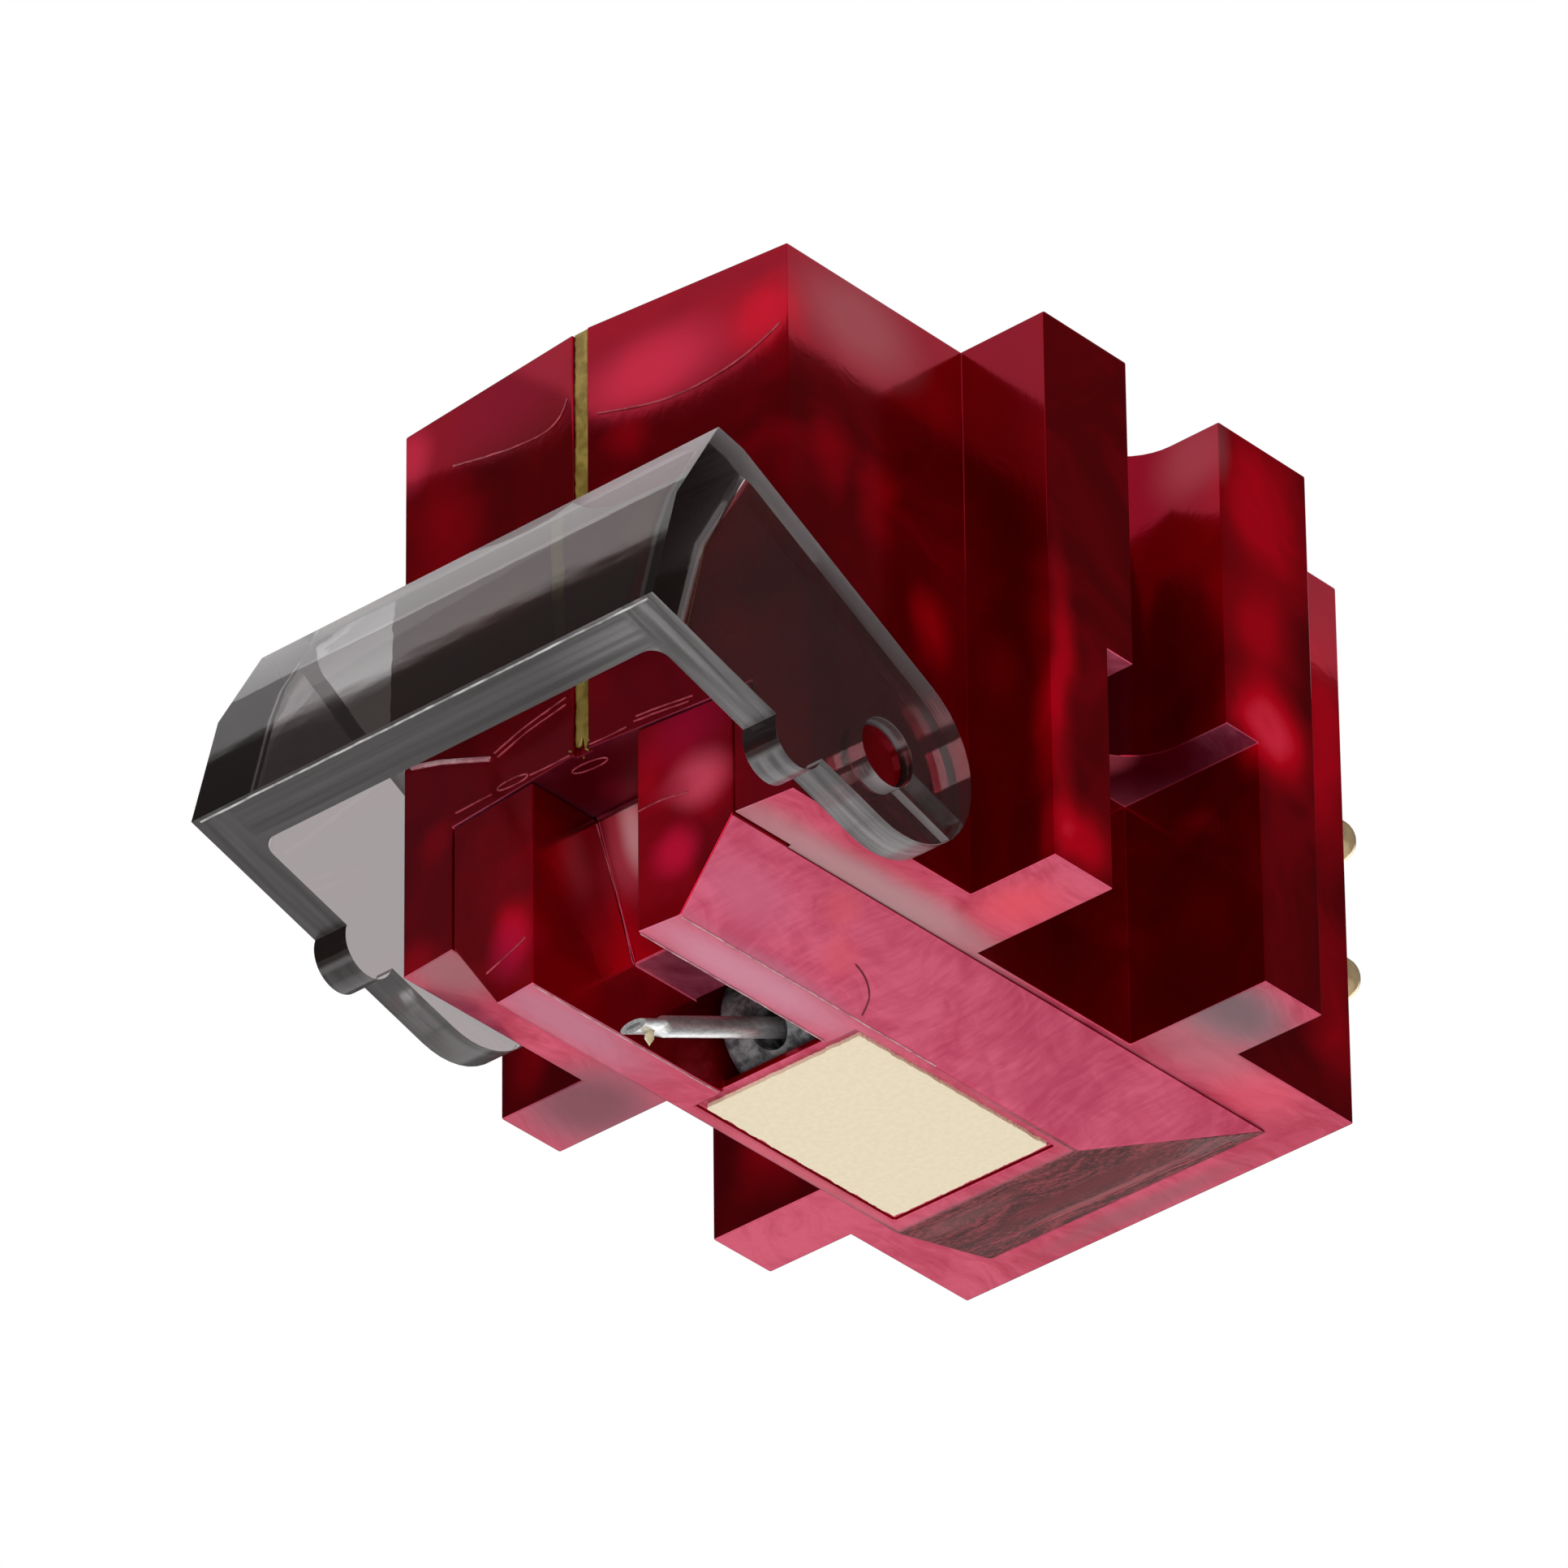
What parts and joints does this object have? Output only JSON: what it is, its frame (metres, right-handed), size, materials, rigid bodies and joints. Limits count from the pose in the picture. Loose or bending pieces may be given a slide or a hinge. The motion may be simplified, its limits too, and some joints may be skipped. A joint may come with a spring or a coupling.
{
  "type": "phono cartridge",
  "caption": "Moving-coil phono cartridge in a red stepped housing with side screw slots, rear terminal pins, a tapered foot and a clear swinging stylus guard",
  "frame": {"origin": "on the mounting face, midway between the two screw slots", "axes": "+Z out of the mounting face towards the headshell, +Y rearwards towards the terminal pins, +X to the right seen from the front"},
  "size_m": [0.0154, 0.0265, 0.0167],
  "materials": {
    "shell_red": "polished ruby plastic with pearl swirls",
    "keel_red": "polished ruby plastic with pearl swirls, finely grained on the rear ramp",
    "guard_smoke": "clear smoke-tinted moulding",
    "cue_paint": "olive-gold paint",
    "label_cream": "bare cream plate, satin",
    "cantilever_aluminium": "drawn tube, satin",
    "diamond": "polished stone",
    "armature_iron": "soft iron",
    "coil_copper": "enamelled copper windings",
    "damper_rubber": "dusty grey rubber",
    "yoke_iron": "plated iron",
    "magnet_nickel": "nickel plate",
    "spring_steel": "bright steel",
    "bright_brass": "turned brass",
    "tag_board_green": "board laminate",
    "terminal_black": "black moulding",
    "pin_gold": "gold plate, polished",
    "lead_sleeve": "sleeved wire"
  },
  "bodies": {
    "root": {"upper_housing": "shell_red", "lower_housing": "keel_red", "cue_line": "cue_paint", "label_plate": "label_cream", "damper_block": "damper_rubber", "suspension_wire": "spring_steel", "suspension_sleeve": "bright_brass", "suspension_set_screw": "spring_steel", "front_yoke": "yoke_iron", "rear_yoke": "yoke_iron", "magnet": "magnet_nickel", "tag_board": "tag_board_green", "terminal_block": "terminal_black", "pin_upper_left": "pin_gold", "pin_lower_left": "pin_gold", "pin_upper_right": "pin_gold", "pin_lower_right": "pin_gold", "lead_upper_left": "lead_sleeve", "lead_lower_left": "lead_sleeve", "lead_upper_right": "lead_sleeve", "lead_lower_right": "lead_sleeve"},
    "guard": {"stylus_guard": "guard_smoke"},
    "suspension": {"pivot_damper": "damper_rubber"},
    "stylus": {"cantilever": "cantilever_aluminium", "cantilever_sleeve": "cantilever_aluminium", "stylus_tip": "diamond", "armature": "armature_iron", "coil_upper_right": "coil_copper", "coil_upper_left": "coil_copper", "coil_lower_left": "coil_copper", "coil_lower_right": "coil_copper"}
  },
  "joints": [
    {"name": "guard_hinge", "type": "hinge", "parent": "root", "child": "guard", "pos_m": [0, -0.00785, -0.0122], "axis": [1, 0, 0], "range_deg": [-15, 60]},
    {"name": "stylus_sideways", "type": "hinge", "parent": "root", "child": "suspension", "pos_m": [0, -0.00065, -0.01288], "axis": [0, -0.4099, 0.9121], "range_deg": [-2, 2], "stiffness_Nm_per_rad": 0.0094},
    {"name": "stylus_vertical", "type": "hinge", "parent": "suspension", "child": "stylus", "pos_m": [0, -0.00065, -0.01288], "axis": [1, 0, 0], "range_deg": [-2, 2], "stiffness_Nm_per_rad": 0.0094}
  ]
}
